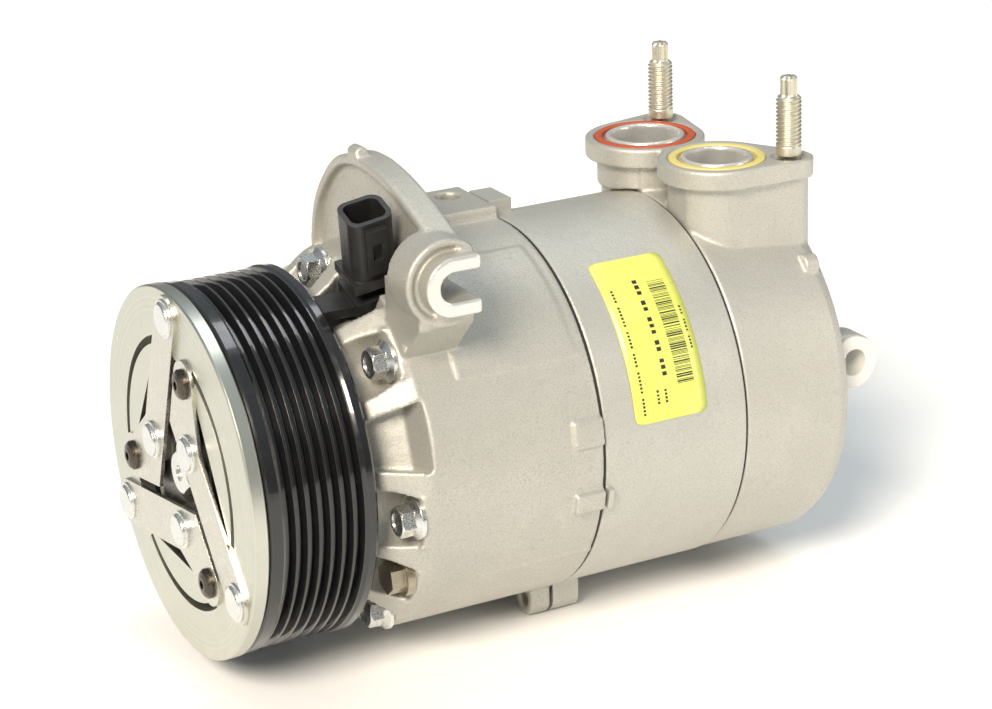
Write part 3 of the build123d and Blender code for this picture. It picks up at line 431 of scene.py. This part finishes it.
def studs():
    mesh = bmesh.new()
    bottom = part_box("port_studs")[0].z
    for name in ("suction_stud", "discharge_stud"):
        mount = mount_named(name)
        centre = Vector(mount["pos_m"])
        half = mount["dims"]["length_mm"] / 2
        low = (bottom - centre.z) / MM
        heights = [low, -half - 0.01] + [-half + i * 0.125 for i in range(int(half * 16) + 1)]
        heights += [half + 0.1, half + 0.5] + [half + 0.5 + i * 0.6 for i in range(1, 9)]
        heights += [half + TIP_LENGTH - 0.7, half + TIP_LENGTH - 0.4, half + TIP_LENGTH]
        rows = []
        for z in heights:
            angles = [2 * math.pi * k / STUD_SIDES for k in range(STUD_SIDES)]
            rows.append([mesh.verts.new(centre + MM * Vector((stud_radius(z, a, mount) * math.cos(a),
                                                             stud_radius(z, a, mount) * math.sin(a), z)))
                         for a in angles])
        for under, over in zip(rows, rows[1:]):
            for k in range(STUD_SIDES):
                n = (k + 1) % STUD_SIDES
                mesh.faces.new((under[k], under[n], over[n], over[k]))
        mesh.faces.new(rows[0][::-1])
        mesh.faces.new(rows[-1])
    thing = as_object("threaded_studs", mesh, STUD_ZINC)
    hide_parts("port_studs")
    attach(thing, "housing")


# the label: u runs along the shaft from its front edge, v up round the shaft from its lower edge
LABEL_LOW = math.radians(7.8)
LABEL_CORNER = 2.4
LABEL_THICK = 0.22
PRINT_PROUD = 0.012


def label_frame():
    """Front edge, width, length and outer radius of the label, in metres."""
    lo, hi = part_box("label")
    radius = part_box("cylinder_block")[1].y + 0.25 * MM
    return lo.x, hi.x - lo.x, radius * (math.asin(hi.z / radius) - LABEL_LOW), radius


def on_label(u, v, proud=0.0):
    front, _, _, radius = label_frame()
    return round_shaft(front + u * MM, radius + proud * MM, LABEL_LOW + v * MM / radius)


def label_sheet():
    """Curved film with round corners."""
    _, width, length, _ = (n / MM for n in label_frame())
    mesh = bmesh.new()
    corner = [LABEL_CORNER * (1 - math.cos(math.radians(a))) for a in range(0, 91, 15)]
    stations = corner + [LABEL_CORNER + i * (length - 2 * LABEL_CORNER) / 40 for i in range(1, 40)]
    stations += [length - v for v in reversed(corner)]
    rows = []
    for v in stations:
        deep = max(0.0, LABEL_CORNER - min(v, length - v))
        inset = LABEL_CORNER - math.sqrt(LABEL_CORNER ** 2 - deep ** 2)
        rows.append([mesh.verts.new(on_label(inset + (width - 2 * inset) * i / 8, v)) for i in range(9)])
    for under, over in zip(rows, rows[1:]):
        for i in range(8):
            mesh.faces.new((under[i], under[i + 1], over[i + 1], over[i]))
    bmesh.ops.recalc_face_normals(mesh, faces=mesh.faces)
    thing = as_object("label_sheet", mesh, FILM)
    thick = thing.modifiers.new("thick", "SOLIDIFY")
    thick.thickness, thick.offset = LABEL_THICK * MM, -1.0 if faces_out(thing) else 1.0
    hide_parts("label")
    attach(thing, "housing")


def faces_out(thing):
    face = thing.data.polygons[len(thing.data.polygons) // 2]
    return face.normal.dot(Vector((0, face.center.y, face.center.z))) > 0


def label_print():
    """Generic printing: a bar code and rows of plain dashes, which spell nothing."""
    draw = random.Random(11)
    mesh = bmesh.new()

    def bar(u, wide, v0, v1):
        corners = [(u, v0), (u + wide, v0), (u + wide, v1), (u, v1)]
        mesh.faces.new([mesh.verts.new(on_label(*c, PRINT_PROUD)) for c in corners])

    def row(u, tall, v0, v1, stroke, gap, word):
        """Dashes up the label, with a wider space after each word."""
        v, left = v0, word
        while v + stroke < v1:
            long = stroke * draw.uniform(0.75, 1.0)
            bar(u - tall / 2, tall, v, v + long)
            left -= 1
            v += stroke + gap * (4 if left == 0 else 1)
            left = left or word + draw.choice((-1, 0, 1))

    row(3.4, 0.75, 2.6, 42.0, 0.75, 0.38, 5)
    row(8.6, 0.75, 5.2, 9.4, 0.75, 0.38, 9)
    row(11.3, 0.75, 5.2, 9.4, 0.75, 0.38, 9)
    row(12.0, 1.5, 13.2, 45.8, 1.45, 0.5, 3)
    row(23.0, 0.65, 19.5, 33.0, 0.7, 0.36, 4)
    v = 10.0
    while v < 42.6:
        thick = draw.choice((0.16, 0.16, 0.3, 0.45))
        bar(15.8, 5.6, v, v + thick)
        v += thick + draw.choice((0.2, 0.2, 0.38, 0.55))
    for face in mesh.faces:
        face.normal_update()
        middle = face.calc_center_median()
        if face.normal.dot(Vector((0, middle.y, middle.z))) < 0:
            face.normal_flip()
    thing = as_object("label_print", mesh, INK, smooth=False)
    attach(thing, "housing")


softened("front_housing", 0.62, 5, CAST_FRONT)
softened("rear_head", 0.55, 3, CAST_REAR)
studs()
label_sheet()
label_print()


# ---- studio ------------------------------------------------------------------------------------
def shine_from(lamp, place, aim):
    thing = bpy.data.objects.new(lamp.name, lamp)
    bpy.context.scene.collection.objects.link(thing)
    thing.location = place
    thing.rotation_mode = "QUATERNION"
    thing.rotation_quaternion = (Vector(place) - Vector(aim)).to_track_quat("Z", "Y")


def soft_box(name, place, aim, size, power, colour):
    lamp = bpy.data.lights.new(name, "AREA")
    lamp.shape, lamp.size, lamp.energy, lamp.color = "DISK", size, power, colour
    shine_from(lamp, place, aim)


def key_light(place, power, colour):
    """A large far lamp, which lights the floor evenly and leaves a soft shadow."""
    lamp = bpy.data.lights.new("key", "SUN")
    lamp.angle, lamp.energy, lamp.color = KEY_ANGLE, power, colour
    shine_from(lamp, place, (0, 0, 0))


FLOOR_REACH = 6.0
KEY_ANGLE = math.radians(22)
DUSK, MIDDLE_SKY, ZENITH = (0.15, 0.148, 0.145), (0.23, 0.245, 0.25), (0.38, 0.44, 0.475)


def floor():
    """Wide pale sweep under the object, finely mottled."""
    mesh = bmesh.new()
    bmesh.ops.create_grid(mesh, x_segments=24, y_segments=24, size=FLOOR_REACH)
    thing = as_object("floor", mesh)
    thing.location.z = CAD_BOX[0].z
    f = Finish("floor_paper", (0.95, 0.945, 0.935), 0.8)
    f.tint(f.step(f.noise(220, 2.0), 0.4, 0.7, (0, 0.3)), (0.96, 0.95, 0.94))
    f.bump(f.noise(1.5, 3.0), 0.02, 0.3)
    thing.data.materials.append(f.done())


def world():
    """Sky light that falls off towards the horizon."""
    sky = bpy.data.worlds.new("studio")
    bpy.context.scene.world = sky
    sky.use_nodes = True
    nodes, links = sky.node_tree.nodes, sky.node_tree.links
    at = nodes.new("ShaderNodeTexCoord").outputs["Generated"]
    split = nodes.new("ShaderNodeSeparateXYZ")
    ramp = nodes.new("ShaderNodeValToRGB")
    links.new(at, split.inputs[0])
    links.new(split.outputs["Z"], ramp.inputs[0])
    low, high = ramp.color_ramp.elements
    low.position, low.color = 0.0, (*DUSK, 1)
    high.position, high.color = 0.75, (*ZENITH, 1)
    ramp.color_ramp.elements.new(0.25).color = (*MIDDLE_SKY, 1)
    links.new(ramp.outputs[0], nodes["Background"].inputs["Color"])
    nodes["Background"].inputs["Strength"].default_value = 1.0


CAMERA_PLACE = (-0.2875516, -0.7208487, 0.3091163)
CAMERA_AZIMUTH, CAMERA_ELEVATION, CAMERA_ROLL = (math.radians(v) for v in (-27.27, 19.87, 2.0))
FOCAL_LENGTH, SENSOR_WIDTH = 101.61, 36.0


def camera():
    """Stands to the front left of the object, a little above it."""
    lens = bpy.data.cameras.new("camera")
    lens.lens, lens.sensor_width = FOCAL_LENGTH, SENSOR_WIDTH
    lens.clip_start, lens.clip_end = 0.01, 50.0
    thing = bpy.data.objects.new("camera", lens)
    bpy.context.scene.collection.objects.link(thing)
    level = math.cos(CAMERA_ELEVATION)
    back = Vector((math.sin(CAMERA_AZIMUTH) * level, -math.cos(CAMERA_AZIMUTH) * level,
                   math.sin(CAMERA_ELEVATION)))
    thing.rotation_mode = "QUATERNION"
    thing.rotation_quaternion = back.to_track_quat("Z", "Y") @ Quaternion((0, 0, 1), -CAMERA_ROLL)
    thing.location = CAMERA_PLACE
    bpy.context.scene.camera = thing


CENTRE = (CAD_BOX[0] + CAD_BOX[1]) / 2
floor()
world()
camera()
key_light((-1.05, -0.92, 1.06), 4.3, (1.0, 0.905, 0.775))
soft_box("top", (0.30, 0.25, 1.15), CENTRE, 0.50, 2.5, (0.92, 0.96, 1.0))
soft_box("side", (0.95, -0.75, 0.35), CENTRE, 0.40, 2.6, (1.0, 0.95, 0.88))
bpy.context.scene.view_settings.view_transform = "Standard"
